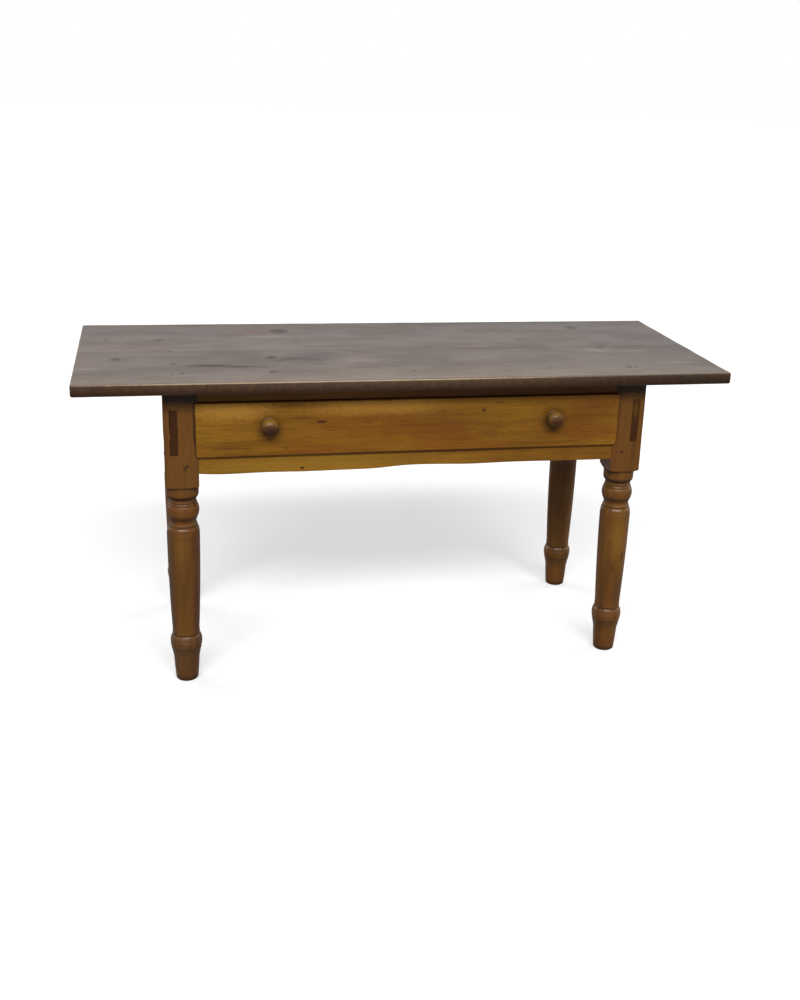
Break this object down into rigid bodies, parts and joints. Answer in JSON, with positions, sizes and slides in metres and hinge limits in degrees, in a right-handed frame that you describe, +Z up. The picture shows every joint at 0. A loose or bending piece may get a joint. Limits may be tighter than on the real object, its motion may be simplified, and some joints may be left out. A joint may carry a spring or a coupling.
{
  "type": "tavern table",
  "caption": "Tavern table: a dark plank top on a pegged frame with turned legs, and a long lipped drawer with turned knobs.",
  "frame": {"origin": "on the floor under the middle of the top", "axes": "+X to the right along the top's length, +Y to the back, +Z up; the drawer opens towards -Y"},
  "size_m": [1.53, 0.606, 0.76],
  "materials": {
    "dark_top": "dark stained and waxed, worn",
    "leg_wood": "old shellac over pine",
    "apron_wood": "old shellac over pine",
    "golden_pine": "old golden shellac over pine",
    "knob_wood": "old shellac over maple",
    "peg_wood": "end grain, dark",
    "raw_pine": "unfinished, aged",
    "old_iron": "dull, lightly rusted"
  },
  "bodies": {
    "table_frame": {"top_board_front": "dark_top", "top_board_back": "dark_top", "leg_front_left": "leg_wood", "leg_front_right": "leg_wood", "leg_back_left": "leg_wood", "leg_back_right": "leg_wood", "end_apron_left": "apron_wood", "end_apron_right": "apron_wood", "back_apron": "apron_wood", "front_lower_rail": "golden_pine", "front_upper_rail": "golden_pine", "drawer_runner_left": "raw_pine", "drawer_runner_right": "raw_pine", "drawer_guide_left": "raw_pine", "drawer_guide_right": "raw_pine", "drawer_kicker_left": "raw_pine", "drawer_kicker_right": "raw_pine", "front_rail_pegs": "peg_wood", "back_apron_pegs": "peg_wood", "end_apron_pegs": "peg_wood", "guide_nails": "old_iron", "kicker_nails": "old_iron", "top_nails": "old_iron"},
    "drawer": {"drawer_front": "golden_pine", "drawer_side_left": "raw_pine", "drawer_side_right": "raw_pine", "drawer_back": "raw_pine", "drawer_bottom_front": "raw_pine", "drawer_bottom_back": "raw_pine", "drawer_knobs": "knob_wood", "drawer_bottom_nails": "old_iron"}
  },
  "joints": [
    {"name": "drawer_slide", "type": "slide", "parent": "table_frame", "child": "drawer", "axis": [0, -1, 0], "range_m": [0, 0.36]}
  ]
}
